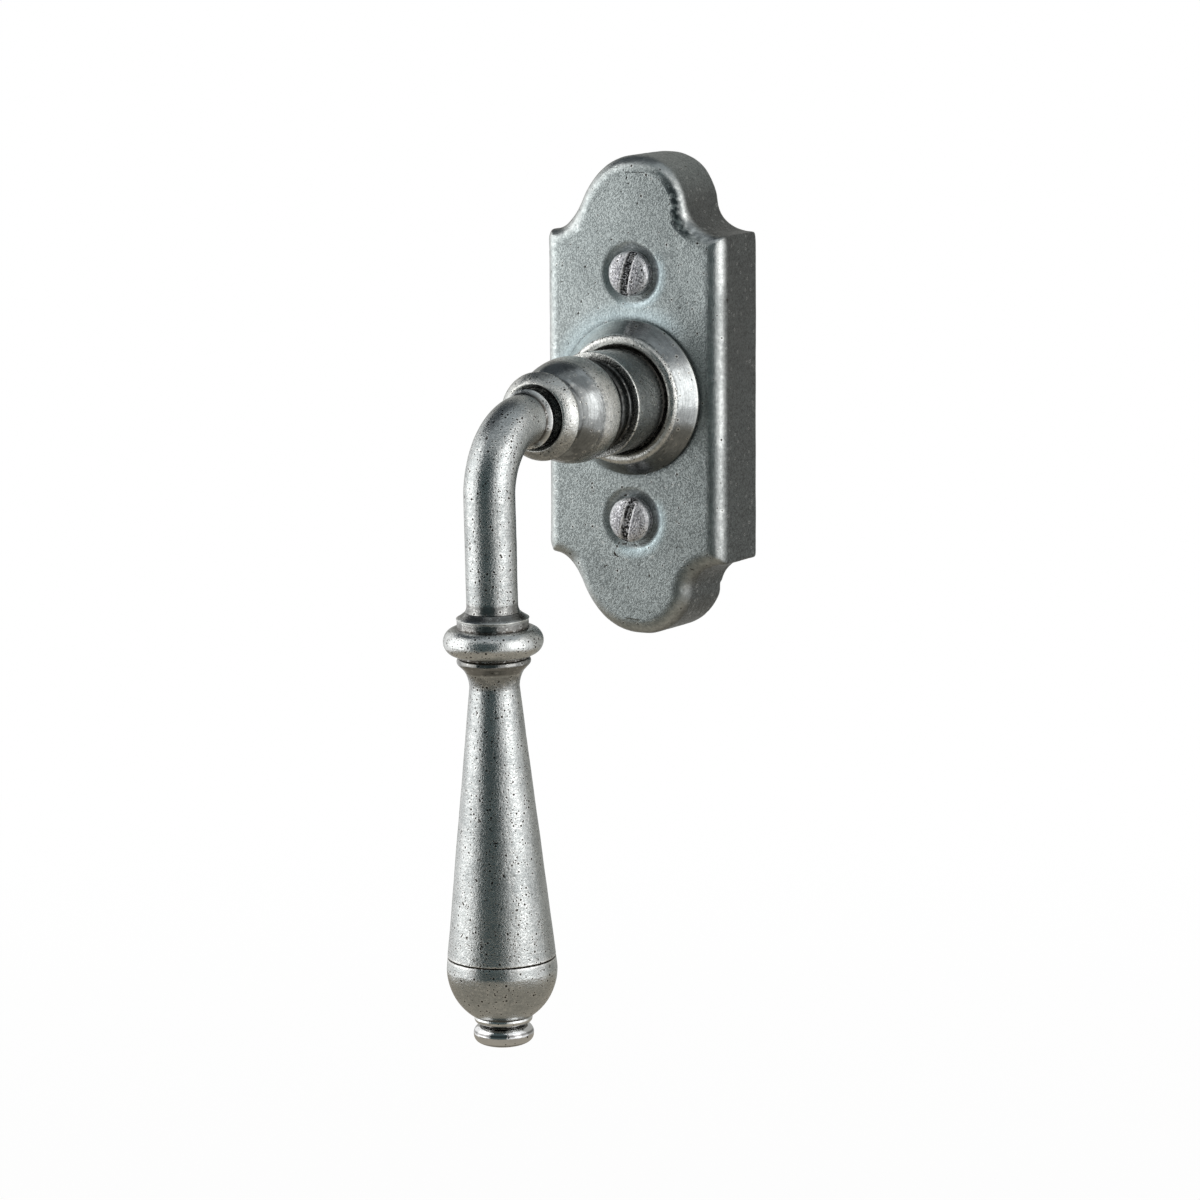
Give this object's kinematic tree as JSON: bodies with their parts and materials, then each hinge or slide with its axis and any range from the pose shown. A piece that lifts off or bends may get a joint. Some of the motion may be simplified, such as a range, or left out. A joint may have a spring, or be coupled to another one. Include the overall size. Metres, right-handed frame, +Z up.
{
  "type": "window handle",
  "caption": "Forged window handle: a hollow shield-shaped cover plate with a turned rosette, and a bent lever with a pear-shaped grip that turns a square spindle.",
  "frame": {"origin": "where the spindle's axis meets the window's face, midway between the two fixing screws", "axes": "+Z up along the plate, +X to the right as seen from the room, +Y into the window along the spindle"},
  "size_m": [0.0354, 0.094, 0.1478],
  "materials": {
    "plate_iron": "forged, blackened and rubbed back",
    "lever_iron": "forged and turned, pitted, rubbed bright on the ridges",
    "finial_steel": "worn bright",
    "screw_steel": "rough turned head",
    "plated_steel": "zinc plated",
    "spring_steel": "tempered",
    "zinc_casting": "die cast",
    "bush_plastic": "moulded acetal"
  },
  "bodies": {
    "plate": {"cover_plate": "plate_iron", "rosette": "plate_iron", "bearing_bush": "bush_plastic", "mechanism_carrier": "zinc_casting", "mechanism_lid": "plated_steel", "lid_rivets": "plated_steel", "leaf_spring_left": "spring_steel", "leaf_spring_right": "spring_steel", "fixing_screw_upper": "screw_steel", "fixing_screw_lower": "screw_steel"},
    "lever": {"lever_hub": "lever_iron", "lever_neck": "lever_iron", "grip_ring": "lever_iron", "grip": "lever_iron", "grip_cap": "lever_iron", "finial": "finial_steel", "tie_rod": "plated_steel", "spindle": "plated_steel", "spindle_pin": "plated_steel", "index_cam": "plated_steel", "snap_ring": "spring_steel", "spring_washer": "spring_steel"}
  },
  "joints": [
    {"name": "handle_turn", "type": "hinge", "parent": "plate", "child": "lever", "pos_m": [0, 0, 0], "axis": [0, -1, 0], "range_deg": [-180, 180], "deforming": ["leaf_spring_left", "leaf_spring_right"]}
  ]
}
